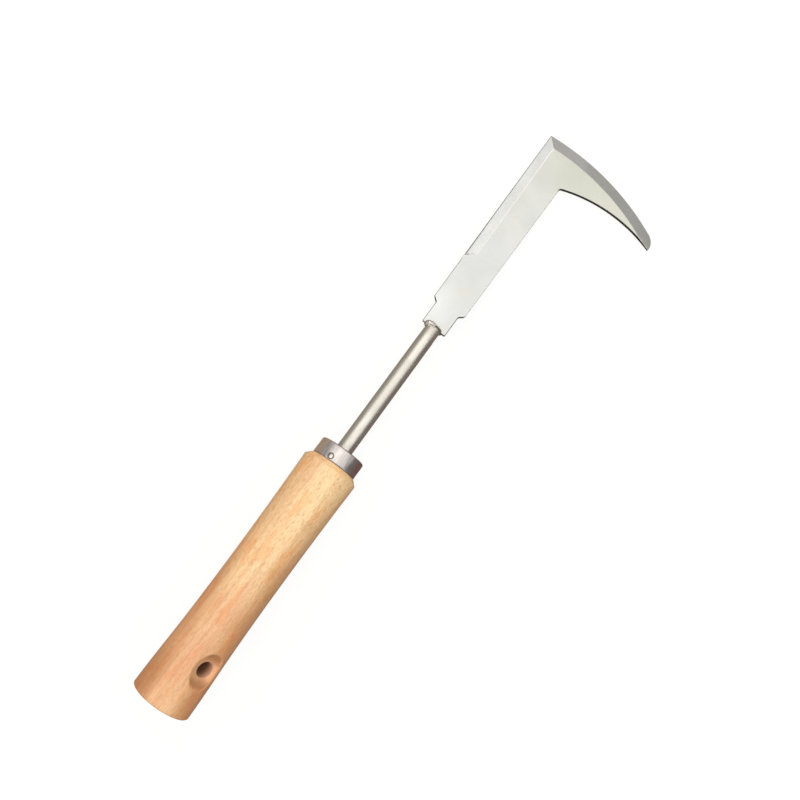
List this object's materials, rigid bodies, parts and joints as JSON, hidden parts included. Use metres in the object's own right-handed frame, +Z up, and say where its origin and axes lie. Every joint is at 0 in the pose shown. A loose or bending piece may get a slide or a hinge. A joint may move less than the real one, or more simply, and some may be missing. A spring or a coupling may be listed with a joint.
{
  "type": "hand sickle",
  "caption": "Hand sickle: a short hooked flat blade with ground edges on a round steel neck, in a turned wooden handle with a ferrule and a hanging hole.",
  "frame": {"origin": "on the surface the tool rests on, under the middle of its bounding box", "axes": "+X along the tool from the butt to the hook, as seen from above (the tool's own axis dips 3.65 degrees towards the hook, because it rests on its front shoulder and the hook's far edge); the hook points to -Y; +Z up, the bevelled face upwards"},
  "size_m": [0.2995, 0.0718, 0.0327],
  "materials": {
    "beech": "satin lacquer over straight beech grain",
    "ferrule_steel": "polished drawn steel with fine turned lines",
    "nail_steel": "plain bright nail",
    "neck_steel": "bright drawn bar, fine lengthwise lines",
    "blade_steel": "fine matt satin on the faces, coarser ground lines on the bevels",
    "weld_steel": "wire-brushed weld"
  },
  "bodies": {
    "root": {"handle": "beech", "ferrule": "ferrule_steel", "ferrule_nail": "nail_steel", "neck": "neck_steel", "blade": "blade_steel", "weld_beads": "weld_steel"}
  },
  "joints": []
}
